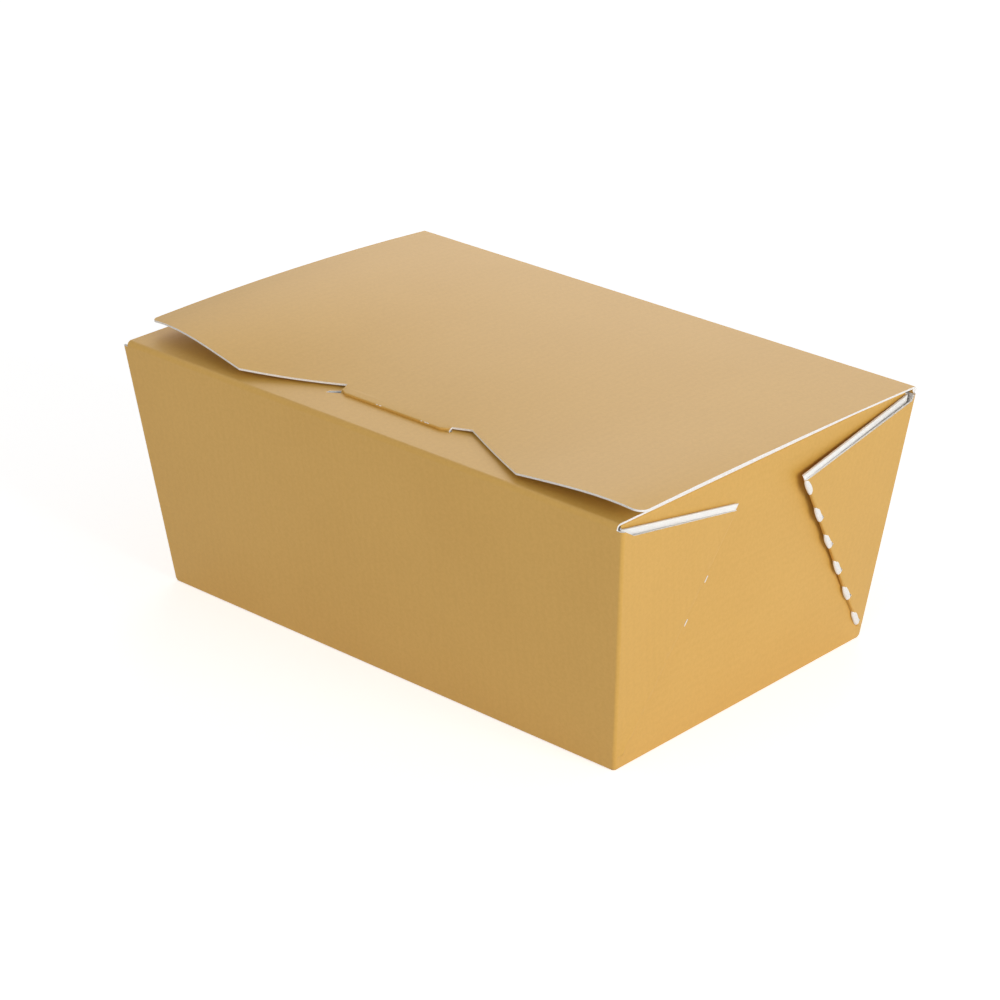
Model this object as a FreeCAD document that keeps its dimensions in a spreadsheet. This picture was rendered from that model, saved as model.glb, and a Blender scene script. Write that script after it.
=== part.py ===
import FreeCAD, Part
import math
import os
import re
import Sketcher

# A ballotin: a chocolate box folded from one sheet of board. The bottom, two long walls and two end
# walls flare upwards. At each corner a web joins two walls: it is folded in half on a perforated
# diagonal and lies flat against the outside of the end wall. Two end flaps and a deep front flap
# close the mouth, and the lid, creased along the back wall, tucks its tongue into the front flap's
# slit. The origin is on the floor under the middle, +X along the length, -Y the front, +Z up.

doc = FreeCAD.newDocument("ballotin")
V = FreeCAD.Vector

SIZES = {
    "TopLength": 150,  # over the outer plies of the webs
    "TopWidth": 100,  # over the front crease and the back wall
    "BaseLength": 136,
    "BaseWidth": 86,
    "Height": 61,  # to the top of the front crease
    "Board": 0.45,
    # Creases, all measured on the outside of the bend.
    "CornerRound": 0.8,
    "BaseRound": 0.6,
    "FrontRound": 1.2,
    "EndRound": 0.6,
    # The end walls and the webs folded against them.
    "FootHeight": 3.5,  # where the webs begin
    "EndInset": 2,  # how far the end wall's top stands in from the web's outer ply
    "SideInset": 1.7,  # from the long wall's outside to the end wall's side edge, at the top
    "SideInsetFoot": 1.1,  # the same at the bottom
    "PlyGap": 0.25,  # between the end wall and the web's inner ply
    "FoldGap": 0.1,  # between the two plies at their fold
    "FoldDrop": 7.25,  # from the rim down to where the fold ends
    "FoldsApart": 10,  # the least space between the ends of two folds that face each other
    "FrontSpring": 0,  # how far a web's fold has sprung away from the end wall, at the rim
    "BackSpring": 1.45,
    "ShoulderRun": 3,  # beside a front corner, the outer ply's top edge dips below the inner's
    "ShoulderDrop": 1.9,
    "TipRun": 0.6,  # the same beside a back corner
    "TipDrop": 1.4,
    "PlyStep": 1.2,  # how far the outer ply stops below the inner one at the fold
    "CutLength": 5,
    "CutPitch": 10.1,
    "FirstCut": 7.6,  # from the corner of the bottom to the middle of the first cut
    "CutDepth": 0.4,
    "CutTaper": 0.8,  # at each end of a cut
    "SprungCutDepth": 1,  # in the back webs' outer plies, where the cuts gape
    # The flaps that close the mouth under the lid.
    "LayerGap": 0.2,  # from the end flaps up to the front flap
    "FrontFlapInset": 1.8,  # at each end, from the length over the webs
    "FrontFlapDepth": 86,
    "FrontFlapRound": 5,
    "EndFlapDepth": 48,
    "EndFlapTaper": 7,
    "EndFlapRound": 8,
    "SlitSetback": 12,  # from the front crease to the slit
    "SlitEndGap": 0.4,  # from the tongue to the slit's end
    "SlitSideGap": 0.3,  # from the tongue to the slit's edges
    "SlitHook": 2,  # at its left end the slit turns forward
    # The lid.
    "LidInset": 0.5,  # at each end, from the length over the webs
    "LidSetback": 3,  # from the front crease to the lid's front edge
    "LidSkew": 2.1,  # how far the front has been pushed to the right
    "LidTaperLeft": 3.6,  # how far the corners lie behind the shoulders
    "LidTaperRight": 0.6,
    "LidRound": 2.5,
    "ShoulderHalf": 41.3,
    "NeckFlare": 2.55,  # how much wider the neck is than the tongue, at each side
    "NeckLength": 2.5,  # from the shoulders' lower ends to the slit
    "TongueHalf": 16.2,
    "TongueLength": 12,
    "TongueLean": 0.6,  # the tip follows the root's circle about the hinge
    "TongueTaper": 2,
    "TongueRound": 4,
    "TongueBend": 1.1,
    "BeadRadius": 0.7,  # the rolled crease that the lid turns on
    "HingeGap": 0.3,
    # How far the lid's front stands above its hinge, and how far it bows above that line.
    "LiftLeft": 2.6,
    "LiftShoulderLeft": 1.5,
    "LiftNeck": -0.41,
    "LiftShoulderRight": 1.1,
    "LiftRight": 2.3,
    "BowLeft": 1.45,
    "BowNeck": 1.9,
    "BowRight": 0.5,
}

sheet = doc.addObject("Spreadsheet::Sheet", "Sizes")
for row, (alias, value) in enumerate(SIZES.items(), start=1):
    sheet.set(f"A{row}", alias)
    sheet.set(f"B{row}", str(value))
    sheet.setAlias(f"B{row}", alias)
doc.recompute()


def sized(text):
    """The expression with the sheet's name before each size."""
    return re.sub(r"[A-Za-z]+", lambda word: "Sizes." * (word[0] in SIZES) + word[0], text)


def value_of(text):
    """What an expression of the sizes comes to."""
    return float(sheet.evalExpression(sized(text)))


def bind(thing, name, text):
    """Ties a property to an expression of the sizes."""
    thing.setExpression(name, sized(text))


def arc_between(start, end, turn, radius):
    """The shorter arc from start to end, anticlockwise where turn is 1."""
    chord = end - start
    rise = math.sqrt(max(radius**2 - (chord.Length / 2) ** 2, 0))
    across = V(-chord.y, chord.x, 0).normalize()
    centre = (start + end) * 0.5 + across * (turn * rise)
    first, last = (start, end) if turn > 0 else (end, start)
    angles = [math.atan2(point.y - centre.y, point.x - centre.x) for point in (first, last)]
    if angles[1] < angles[0]:
        angles[1] += 2 * math.pi
    return Part.ArcOfCircle(Part.Circle(centre, V(0, 0, 1), radius), *angles)


def outline(sketch, corners):
    """Draws a closed outline in a sketch and ties every corner and radius to the sizes.

    A corner is (across, up), or (across, up, turn, radius) where an arc leaves it: turn is 1 for
    an anticlockwise arc and -1 for a clockwise one.
    """
    offset = sketch.GeometryCount
    points = [V(value_of(corner[0]), value_of(corner[1]), 0) for corner in corners]
    for number, corner in enumerate(corners):
        ends = points[number], points[(number + 1) % len(corners)]
        if len(corner) == 2:
            sketch.addGeometry(Part.LineSegment(*ends), False)
        else:
            sketch.addGeometry(arc_between(*ends, corner[2], value_of(corner[3])), False)
    clockwise = [len(corner) > 2 and corner[2] < 0 for corner in corners]
    for number, corner in enumerate(corners):
        this = offset + number
        start = 2 if clockwise[number] else 1
        before = offset + (number - 1) % len(corners)
        before_end = 1 if clockwise[number - 1] else 2
        sketch.addConstraint(Sketcher.Constraint("Coincident", before, before_end, this, start))
        for kind, text in zip(("DistanceX", "DistanceY"), corner):
            rule = Sketcher.Constraint(kind, -1, 1, this, start, value_of(text))
            bind(sketch, f"Constraints[{sketch.addConstraint(rule)}]", text)
        if len(corner) > 2:
            rule = Sketcher.Constraint("Radius", this, value_of(corner[3]))
            bind(sketch, f"Constraints[{sketch.addConstraint(rule)}]", corner[3])


# Where a sketch lies: its own two directions are X and Y, X and Z, or Y and Z.
FACING = {
    "XY": FreeCAD.Rotation(),
    "XZ": FreeCAD.Rotation(V(1, 0, 0), 90),
    "YZ": FreeCAD.Rotation(V(1, 1, 1), 120),
}
NORMAL = {"XY": V(0, 0, 1), "XZ": V(0, 1, 0), "YZ": V(1, 0, 0)}


def drawing(name, plane, *outlines, level="0"):
    """A sketch of one or more outlines on a plane, moved along the plane's normal to a level."""
    sketch = doc.addObject("Sketcher::SketchObject", name)
    sketch.Placement = FreeCAD.Placement(V(0, 0, 0), FACING[plane])
    axis = {"XY": "z", "XZ": "y", "YZ": "x"}[plane]
    bind(sketch, f".Placement.Base.{axis}", level)
    for corners in outlines:
        outline(sketch, corners)
    return sketch


def extrusion(name, sketch, plane, length, both_ways=True):
    """A drawing drawn out along its plane's normal, to both sides unless told otherwise."""
    solid = doc.addObject("Part::Extrusion", name)
    solid.Base = sketch
    solid.DirMode = "Custom"
    solid.Dir = NORMAL[plane]
    solid.Solid = True
    solid.Symmetric = both_ways
    bind(solid, "LengthFwd", length)
    return solid


def loft(name, sections, ruled):
    """A solid through closed sections."""
    solid = doc.addObject("Part::Loft", name)
    solid.Sections = sections
    solid.Solid = True
    solid.Ruled = ruled
    return solid


def mirrored(name, source, normal):
    """The source's mirror image in the middle plane across a direction."""
    image = doc.addObject("Part::Mirroring", name)
    image.Source = source
    image.Base = V(0, 0, 0)
    image.Normal = normal
    return image


def joined(name, *pieces):
    """The pieces as one solid."""
    whole = doc.addObject("Part::MultiFuse", name)
    whole.Shapes = list(pieces)
    whole.Refine = True
    return whole


def shared(name, *pieces):
    """What the pieces have in common."""
    core = doc.addObject("Part::MultiCommon", name)
    core.Shapes = list(pieces)
    return core


def cut(name, base, tool):
    """The base with the tool taken out of it."""
    rest = doc.addObject("Part::Cut", name)
    rest.Base = base
    rest.Tool = tool
    return rest


# Slopes of the walls, as run over rise, and places that several pieces share.
LONG_SLOPE = "(TopLength - BaseLength) / 2 / Height"
WIDE_SLOPE = "(TopWidth - BaseWidth) / 2 / Height"
END_SLOPE = "((TopLength - BaseLength) / 2 - EndInset) / Height"
SIDE_SLOPE = "((TopWidth - BaseWidth) / 2 - SideInset + SideInsetFoot) / Height"
RIM = f"(Height - FrontRound * (1 + {WIDE_SLOPE}))"
END_TOP = "(Height - Board - LayerGap)"
END_RIM = f"({END_TOP} - EndRound * (1 + {END_SLOPE}))"
SLIT_LINE = "(SlitSetback - TopWidth / 2)"
TONGUE_FACE = f"({SLIT_LINE} - Board / 2)"
HINGE_UP = f"({RIM} + HingeGap + BeadRadius)"
HINGE_BACK = f"(BaseWidth / 2 + {WIDE_SLOPE} * {HINGE_UP} - BeadRadius)"
LID_HALF = "(TopLength / 2 - LidInset)"
LID_ROOT = f"({HINGE_UP} + BeadRadius)"
NECK_LINE = f"({SLIT_LINE} + NeckLength)"
TONGUE_ROOT = f"({TONGUE_FACE} + TongueBend)"


def corner_x(level):
    """Half the length over the web's outer plies at a level."""
    return f"(BaseLength / 2 + {LONG_SLOPE} * {level})"


def wall_y(level):
    """Half the width over the long walls at a level."""
    return f"(BaseWidth / 2 + {WIDE_SLOPE} * {level})"


def end_x(level):
    """Half the length over the end walls at a level."""
    return f"(BaseLength / 2 + {END_SLOPE} * {level})"


def side_y(level):
    """Half the width of the end wall at a level."""
    return f"(BaseWidth / 2 - SideInsetFoot + {SIDE_SLOPE} * {level})"


# The web's angle at the corner of the bottom is what the three square corners and the two flares
# leave of a full turn. Its fold halves it, so the fold leans in from the upright by FOLD_LEAN.
LONG_FLARE = f"atan({LONG_SLOPE} * cos(atan({WIDE_SLOPE})))"
WIDE_FLARE = f"atan({WIDE_SLOPE} * cos(atan({LONG_SLOPE})))"
FOLD_LEAN = f"(45 deg - {LONG_FLARE} / 2 - {WIDE_FLARE} * 3 / 2)"
FOLD_RISE = f"(cos({FOLD_LEAN}) * cos(atan({END_SLOPE})))"
FOLD_RUN = f"(sin({FOLD_LEAN}) / {FOLD_RISE})"
FOLD_TOP = f"min({RIM} - FoldDrop; (BaseWidth - FoldsApart) / 2 / {FOLD_RUN})"


# A pressed fold is two flats wide on each ply, rather than round.
FOLD_HALF = "(Board + FoldGap / 2)"
FOLD_BEVEL = f"({FOLD_HALF} * (1 - cos(45 deg)))"


def fold_y(level):
    """How far the web's fold is from the middle of the end wall at a level."""
    return f"(BaseWidth / 2 - {FOLD_RUN} * {level})"


def outer_ply_section(name, level, stack):
    """The corner's crease and the web's outer ply, as far as the middle of the fold."""
    far_x = corner_x(level)
    far_y = wall_y(level)
    fold_x = f"({end_x(level)} + {stack})"
    fold_start = f"({fold_y(level)} + {FOLD_HALF})"
    return drawing(name, "XY", [
        (f"{far_x} - CornerRound", far_y, -1, "CornerRound"),
        (far_x, f"{far_y} - CornerRound"),
        (fold_x, fold_start),
        (f"{fold_x} - {FOLD_BEVEL}", f"{fold_y(level)} + {FOLD_BEVEL}"),
        (f"{fold_x} - {FOLD_HALF}", fold_y(level)),
        (f"{fold_x} - {FOLD_HALF}", f"{fold_start} - FoldGap / 2"),
        (f"{fold_x} - Board", fold_start),
        (f"{far_x} - Board", f"{far_y} - CornerRound", 1, "CornerRound - Board"),
        (f"{far_x} - CornerRound", f"{far_y} - Board"),
    ], level=level)


def foot_section(name, level, inset):
    """The filled corner below the web, as far as the end wall's side edge."""
    far_x = f"({corner_x(level)} - {inset})"
    far_y = f"({wall_y(level)} - {inset})"
    flat = "CornerRound * (1 - cos(45 deg))"
    return drawing(name, "XY", [
        (f"{corner_x(level)} - CornerRound", far_y),
        (f"{far_x} - {flat}", f"{far_y} - {flat}"),
        (far_x, f"{wall_y(level)} - CornerRound"),
        (f"{end_x(level)} - {inset}", f"{side_y(level)} - Board"),
        (f"{corner_x(level)} - CornerRound", f"{side_y(level)} - Board"),
    ], level=level)


def inner_ply_section(name, level, stack, gap):
    """The web's inner ply, from the middle of the fold to the end wall's side edge."""
    fold_x = f"({end_x(level)} + {stack})"
    fold_start = f"({fold_y(level)} + {FOLD_HALF})"
    return drawing(name, "XY", [
        (f"{fold_x} - {FOLD_HALF}", fold_y(level)),
        (f"{fold_x} - 2 * {FOLD_HALF} + {FOLD_BEVEL}", f"{fold_y(level)} + {FOLD_BEVEL}"),
        (f"{fold_x} - 2 * {FOLD_HALF}", fold_start),
        (f"{end_x(level)} + {gap}", side_y(level)),
        (f"{end_x(level)} + {gap} + Board", side_y(level)),
        (f"{fold_x} - Board - FoldGap", fold_start),
        (f"{fold_x} - {FOLD_HALF}", f"{fold_start} - FoldGap / 2"),
    ], level=level)


def hairpin_section(name, level, gap):
    """The turn that joins the web's inner ply to the end wall's side edge."""
    half = f"(Board + {gap} / 2)"
    middle = f"({end_x(level)} + {gap} / 2)"
    return drawing(name, "XY", [
        (f"{middle} + {half}", side_y(level)),
        (f"{middle} + {half} / 2", f"{side_y(level)} + {half} * cos(30 deg)"),
        (f"{middle} - {half} / 2", f"{side_y(level)} + {half} * cos(30 deg)"),
        (f"{middle} - {half}", side_y(level)),
    ], level=level)


CORNER_LINE = f"({wall_y(RIM)} - CornerRound)"
INNER_EDGE = [(CORNER_LINE, RIM)]
FRONT_EDGE = [(CORNER_LINE, RIM), (f"{CORNER_LINE} - ShoulderRun", f"{RIM} - ShoulderDrop")]
BACK_EDGE = [(CORNER_LINE, RIM), (f"{CORNER_LINE} - TipRun", f"{RIM} - TipDrop")]


def ply_cuts(name, edge, end, depth):
    """What is cut from a web's ply: the corner above its top edge, and the perforation.

    The top edge falls from the corner, by way of the edge's points, to the fold, which it meets
    at the level of end.
    """
    beyond = "TopWidth"
    top = [
        *edge,
        (fold_y(end), end),
        ("0", end),
        ("0", beyond),
        (edge[0][0], beyond),
    ]
    cuts = []
    room = value_of(f"{FOLD_TOP} / {FOLD_RISE} - FirstCut - CutLength / 2")
    for number in range(int(room // SIZES["CutPitch"]) + 1):
        middle = f"(FirstCut + {number} * CutPitch)"
        low = f"(({middle} - CutLength / 2) * {FOLD_RISE})"
        high = f"(({middle} + CutLength / 2) * {FOLD_RISE})"
        cuts.append([
            (f"{fold_y(low)} - Board", low),
            (f"{fold_y(low)} + Board / 2", low),
            (f"{fold_y(low)} + {depth}", f"{low} + CutTaper"),
            (f"{fold_y(high)} + {depth}", f"{high} - CutTaper"),
            (f"{fold_y(high)} + Board / 2", high),
            (f"{fold_y(high)} - Board", high),
        ])
    across = extrusion(f"{name}_across", drawing(f"{name}_edges", "YZ", top, *cuts), "YZ", "TopLength",
                       both_ways=False)
    outside = [
        (f"{end_x('0')} + PlyGap / 2", "0"),
        ("TopLength", "0"),
        ("TopLength", beyond),
        (f"{end_x(beyond)} + PlyGap / 2", beyond),
    ]
    along = extrusion(f"{name}_along", drawing(f"{name}_outside", "XZ", outside), "XZ", "2 * TopWidth")
    return shared(name, across, along)


def corner(name, spring, outer_cuts, inner_cuts):
    """A corner's upright crease with its web. At the foot the plies are pressed together.

    How far the fold stands out at the foot follows from how far it does at the rim, because the
    inner ply is flat.
    """
    foot_part = f"(({side_y('FootHeight')} - {fold_y('FootHeight')} - {FOLD_HALF})"
    rim_part = f"({side_y(RIM)} - {fold_y(RIM)} - {FOLD_HALF}))"
    rim_stack = f"(2 * {FOLD_HALF} + PlyGap + {spring})"
    foot_stack = f"(2 * {FOLD_HALF} - Board + {spring} * {foot_part} / {rim_part})"
    pressed = "(0 - Board)"
    plies = []
    for kind, section, at_foot, at_rim in (
        ("outer_ply", outer_ply_section, [foot_stack], [rim_stack]),
        ("inner_ply", inner_ply_section, [foot_stack, pressed], [rim_stack, "PlyGap"]),
        ("hairpin", hairpin_section, [pressed], ["PlyGap"]),
    ):
        low = section(f"{name}_{kind}_foot", "FootHeight", *at_foot)
        high = section(f"{name}_{kind}_rim", RIM, *at_rim)
        plies.append(loft(f"{name}_{kind}", [low, high], ruled=True))
    outer, *inner = plies
    web = joined(
        f"{name}_web",
        cut(f"{name}_outer_cut", outer, outer_cuts),
        cut(f"{name}_inner_cut", joined(f"{name}_inner_plies", *inner), inner_cuts),
    )
    floor = foot_section(f"{name}_floor", "0", "BaseRound / 2")
    bend = foot_section(f"{name}_bend", "BaseRound", "0")
    foot = foot_section(f"{name}_foot", "FootHeight", "0")
    return joined(name, web, loft(f"{name}_toe", [floor, bend, foot], ruled=True))


def long_strip():
    """The strip that runs across the box: back wall, bottom, front wall and front flap."""
    lean = f"atan({WIDE_SLOPE})"
    reach = f"(BaseRound * tan(45 deg - {lean} / 2))"
    foot_up = f"({reach} * cos({lean}))"
    floor_y = f"(BaseWidth / 2 - {reach})"
    inner_reach = f"((BaseRound - Board) * tan(45 deg - {lean} / 2))"
    inner_up = f"(Board + {inner_reach} * cos({lean}))"
    inner_y = f"({wall_y('Board')} - Board - {inner_reach})"
    front = f"-{wall_y(RIM)}"
    bend = f"({front} + FrontRound * cos({lean}))"
    far = "FrontFlapDepth - TopWidth / 2"
    profile = drawing("long_strip_profile", "YZ", [
        (wall_y(RIM), RIM),
        (wall_y(foot_up), foot_up, -1, "BaseRound"),
        (floor_y, "0"),
        (f"-{floor_y}", "0", -1, "BaseRound"),
        (f"-{wall_y(foot_up)}", foot_up),
        (front, RIM, -1, "FrontRound"),
        (bend, "Height"),
        (far, "Height"),
        (far, "Height - Board"),
        (bend, "Height - Board", 1, "FrontRound - Board"),
        (f"{front} + Board", RIM),
        (f"Board - {wall_y(inner_up)}", inner_up, 1, "BaseRound - Board"),
        (f"-{inner_y}", "Board"),
        (inner_y, "Board", 1, "BaseRound - Board"),
        (f"{wall_y(inner_up)} - Board", inner_up),
        (f"{wall_y(RIM)} - Board", RIM),
    ])
    half = "(TopLength / 2 - FrontFlapInset)"
    wall_half = f"({corner_x(RIM)} - CornerRound)"
    front_view = drawing("long_strip_front_view", "XZ", [
        ("CornerRound - BaseLength / 2", "0"),
        ("BaseLength / 2 - CornerRound", "0"),
        (wall_half, RIM),
        (half, RIM),
        (half, "2 * Height"),
        (f"-{half}", "2 * Height"),
        (f"-{half}", RIM),
        (f"-{wall_half}", RIM),
    ])
    rounds = [
        [
            (f"{side} * ({half} + TopLength)", f"{far} - FrontFlapRound"),
            (f"{side} * {half}", f"{far} - FrontFlapRound", side, "FrontFlapRound"),
            (f"{side} * ({half} - FrontFlapRound)", far),
            (f"{side} * ({half} - FrontFlapRound)", f"{far} + TopWidth"),
            (f"{side} * ({half} + TopLength)", f"{far} + TopWidth"),
        ]
        for side in (1, -1)
    ]
    back = f"({TONGUE_FACE} + Board + SlitSideGap)"
    front_edge = f"({TONGUE_FACE} - SlitSideGap)"
    slit_half = "(TongueHalf + SlitEndGap)"
    slit = [
        (f"-{slit_half}", back),
        (f"-{slit_half} - SlitHook", f"{back} - SlitHook"),
        (f"-{slit_half} - SlitHook", f"{front_edge} - SlitHook"),
        (f"-{slit_half} + SlitHook / 2", front_edge),
        (slit_half, front_edge),
        (slit_half, back),
    ]
    flap_cuts = drawing("front_flap_cuts", "XY", slit, *rounds, level=RIM)
    strip = shared(
        "long_strip_blank",
        extrusion("long_strip_bent", profile, "YZ", "2 * TopLength"),
        extrusion("long_strip_prism", front_view, "XZ", "4 * TopWidth"),
    )
    tool = extrusion("front_flap_cutter", flap_cuts, "XY", "Height", both_ways=False)
    return cut("long_strip", strip, tool)


def end_strip():
    """The right end: the bottom's crease, the end wall, its top crease and the end flap."""
    lean = f"atan({END_SLOPE})"
    reach = f"(BaseRound * tan(45 deg - {lean} / 2))"
    foot_up = f"({reach} * cos({lean}))"
    inner_reach = f"((BaseRound - Board) * tan(45 deg - {lean} / 2))"
    inner_up = f"(Board + {inner_reach} * cos({lean}))"
    floor_start = "BaseLength / 2 - CornerRound"
    bend = f"({end_x(END_RIM)} - EndRound * cos({lean}))"
    tip = f"({end_x(END_TOP)} - EndFlapDepth)"
    # Inside the top crease, where the board is thick or the wall leans far, the round is opened
    # until it spans the two faces that it joins.
    across = f"(EndRound * cos({lean}) - Board)"
    up = f"(EndRound * (1 + {END_SLOPE}) - Board)"
    inside = f"max(EndRound - Board; 0.6 * sqrt({across}^2 + {up}^2))"
    profile = drawing("end_strip_profile", "XZ", [
        (floor_start, "0"),
        (f"BaseLength / 2 - {reach}", "0", 1, "BaseRound"),
        (end_x(foot_up), foot_up),
        (end_x(END_RIM), END_RIM, 1, "EndRound"),
        (bend, END_TOP),
        (tip, END_TOP),
        (tip, f"{END_TOP} - Board"),
        (bend, f"{END_TOP} - Board", -1, inside),
        (f"{end_x(END_RIM)} - Board", END_RIM),
        (f"{end_x(inner_up)} - Board", inner_up, -1, "BaseRound - Board"),
        (f"{end_x('Board')} - Board - {inner_reach}", "Board"),
        (floor_start, "Board"),
    ])
    end_view = drawing("end_strip_end_view", "YZ", [
        (f"-{side_y('0')}", "0"),
        (side_y("0"), "0"),
        (side_y("2 * Height"), "2 * Height"),
        (f"-{side_y('2 * Height')}", "2 * Height"),
    ])
    root_half = side_y(RIM)
    tip_half = f"({root_half} - EndFlapTaper)"
    flap_sides = drawing("end_flap_sides", "XY", *[
        [
            (bend, f"{side} * {root_half}"),
            (f"{tip} + EndFlapRound", f"{side} * {tip_half}", side, "EndFlapRound"),
            (tip, f"{side} * ({tip_half} - EndFlapRound)"),
            ("0", f"{side} * ({tip_half} - EndFlapRound)"),
            ("0", f"{side} * TopWidth"),
            (bend, f"{side} * TopWidth"),
        ]
        for side in (1, -1)
    ], level="Height / 2")
    strip = shared(
        "end_strip_blank",
        extrusion("end_strip_bent", profile, "XZ", "4 * TopWidth"),
        extrusion("end_strip_prism", end_view, "YZ", "4 * TopLength"),
    )
    tool = extrusion("end_flap_cutter", flap_sides, "XY", "Height", both_ways=False)
    return cut("end_strip", strip, tool)


def carton():
    """Everything but the lid: one sheet, creased and folded."""
    outer_end = f"({FOLD_TOP} - PlyStep)"
    inner_cuts = ply_cuts("inner", INNER_EDGE, FOLD_TOP, "CutDepth")
    front_cuts = ply_cuts("front", FRONT_EDGE, outer_end, "CutDepth")
    back_cuts = ply_cuts("back", BACK_EDGE, outer_end, "SprungCutDepth")
    back = corner("back_corner", "BackSpring", back_cuts, inner_cuts)
    front_corner = corner("front_corner", "FrontSpring", front_cuts, inner_cuts)
    front = mirrored("front_corner_placed", front_corner, V(0, 1, 0))
    right = joined("right_end", end_strip(), back, front)
    return joined("carton", long_strip(), right, mirrored("left_end", right, V(1, 0, 0)))


def lid_sheet():
    """The lid's curved sheet: a smooth surface through sections that bow by different amounts."""
    low = f"({LID_ROOT} - Board)"
    front = "(LidSetback - TopWidth / 2 - 1)"
    run = f"({HINGE_BACK} - {front})"
    sections = []
    for label, place, lift, bow in (
        ("left", f"-{LID_HALF}", "LiftLeft", "BowLeft"),
        ("left_shoulder", "LidSkew - ShoulderHalf", "LiftShoulderLeft",
         "(BowLeft + BowNeck) / 2"),
        ("left_neck", "-TongueHalf", "LiftNeck", "BowNeck"),
        ("neck", "0", "LiftNeck", "BowNeck"),
        ("right_neck", "TongueHalf", "LiftNeck", "BowNeck"),
        ("right_shoulder", "LidSkew + ShoulderHalf", "LiftShoulderRight",
         "(BowRight + BowNeck) / 2"),
        ("right", f"LidSkew + {LID_HALF}", "LiftRight", "BowRight"),
    ):
        radius = f"((({run} ^ 2 + {lift} ^ 2) / 4 + ({bow}) ^ 2) / 2 / ({bow}))"
        sections.append(drawing(f"lid_{label}", "YZ", [
            (HINGE_BACK, LID_ROOT, 1, radius),
            (front, f"{LID_ROOT} + {lift}"),
            (front, f"{low} + {lift}", -1, radius),
            (HINGE_BACK, low),
        ], level=place))
    return loft("lid_bow", sections, ruled=False)


def lid_plan():
    """The lid's outline: rounded front corners, and shoulders sloping back to the tongue's neck.

    The lid has been pushed askew: in front of the bead, a point moves to the right by its share
    of the depth.
    """
    front = "(LidSetback - TopWidth / 2)"
    straight = f"({HINGE_BACK} - 2 * BeadRadius)"

    def askew(across, up):
        return (f"{across} + LidSkew * ({straight} - {up}) / ({straight} - {front})", up)

    neck_half = "(TongueHalf + NeckFlare)"
    left = f"({front} + LidTaperLeft)"
    right = f"({front} + LidTaperRight)"
    return extrusion("lid_prism", drawing("lid_plan", "XY", [
        (LID_HALF, straight),
        (LID_HALF, HINGE_BACK),
        (f"-{LID_HALF}", HINGE_BACK),
        (f"-{LID_HALF}", straight),
        (*askew(f"-{LID_HALF}", f"({left} + LidRound)"), 1, "LidRound"),
        askew(f"LidRound - {LID_HALF}", left),
        askew("-ShoulderHalf", front),
        askew(f"-{neck_half}", NECK_LINE),
        ("-TongueHalf", TONGUE_ROOT),
        ("TongueHalf", TONGUE_ROOT),
        askew(neck_half, NECK_LINE),
        askew("ShoulderHalf", front),
        (*askew(f"{LID_HALF} - LidRound", right), 1, "LidRound"),
        askew(LID_HALF, f"({right} + LidRound)"),
    ]), "XY", "4 * Height")


def tongue():
    """The tongue: bent down from the lid's neck, through the slit and under the front flap."""
    overlap = f"({NECK_LINE} + 1)"
    run = f"({HINGE_BACK} - LidSetback + TopWidth / 2 + 1)"
    share = f"(({HINGE_BACK} - {TONGUE_ROOT}) / {run})"
    top = f"({LID_ROOT} + LiftNeck * {share} + 4 * BowNeck * {share} * (1 - {share}))"
    tip = f"({top} - TongueLength)"
    profile = drawing("tongue_profile", "YZ", [
        (overlap, top),
        (TONGUE_ROOT, top, 1, "TongueBend"),
        (TONGUE_FACE, f"{top} - TongueBend"),
        (f"{TONGUE_FACE} + TongueLean", tip),
        (f"{TONGUE_FACE} + TongueLean + Board", tip),
        (f"{TONGUE_FACE} + Board", f"{top} - TongueBend", -1, "TongueBend - Board"),
        (TONGUE_ROOT, f"{top} - Board"),
        (overlap, f"{top} - Board"),
    ])
    tip_half = "(TongueHalf - TongueTaper)"
    front_view = drawing("tongue_front_view", "XZ", [
        ("-TongueHalf", "2 * Height"),
        ("-TongueHalf", f"{top} - TongueBend"),
        (f"-{tip_half}", f"{tip} + TongueRound", 1, "TongueRound"),
        (f"-{tip_half} + TongueRound", tip),
        (f"{tip_half} - TongueRound", tip, 1, "TongueRound"),
        (tip_half, f"{tip} + TongueRound"),
        ("TongueHalf", f"{top} - TongueBend"),
        ("TongueHalf", "2 * Height"),
    ])
    return shared(
        "tongue",
        extrusion("tongue_strip", profile, "YZ", "TopLength"),
        extrusion("tongue_prism", front_view, "XZ", "2 * TopWidth"),
    )


def lid():
    """The lid, hinged on the rolled crease along its back edge."""
    bead = doc.addObject("Part::Cylinder", "hinge_bead")
    bead.Placement = FreeCAD.Placement(V(0, 0, 0), FreeCAD.Rotation(V(0, 1, 0), 90))
    bind(bead, "Radius", "BeadRadius")
    bind(bead, "Height", f"2 * {LID_HALF}")
    bind(bead, ".Placement.Base.x", f"-{LID_HALF}")
    bind(bead, ".Placement.Base.y", HINGE_BACK)
    bind(bead, ".Placement.Base.z", HINGE_UP)
    sheet_part = shared("lid_sheet", lid_sheet(), lid_plan())
    return joined("lid", sheet_part, tongue(), bead)


def checked(pieces):
    """Rebuilds the document and refuses a feature that failed or a piece that isn't one solid."""
    doc.recompute()
    failed = [thing.Name for thing in doc.Objects if {"Invalid", "Error"} & set(thing.State)]
    if failed:
        raise RuntimeError(f"these features failed: {failed}")
    for piece in pieces:
        if piece.Shape.isNull() or not piece.Shape.isValid() or len(piece.Shape.Solids) != 1:
            raise RuntimeError(f"{piece.Label} is not one valid solid")


pieces = [carton(), lid()]
checked(pieces)
os.makedirs("parts", exist_ok=True)
for piece in pieces:
    piece.Shape.exportStep(f"parts/{piece.Label}.step")
    print(piece.Label, f"{piece.Shape.Volume:.1f} mm3")
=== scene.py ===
import bmesh
import bpy
import math
import numpy as np
from mathutils import Matrix, Vector


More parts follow.
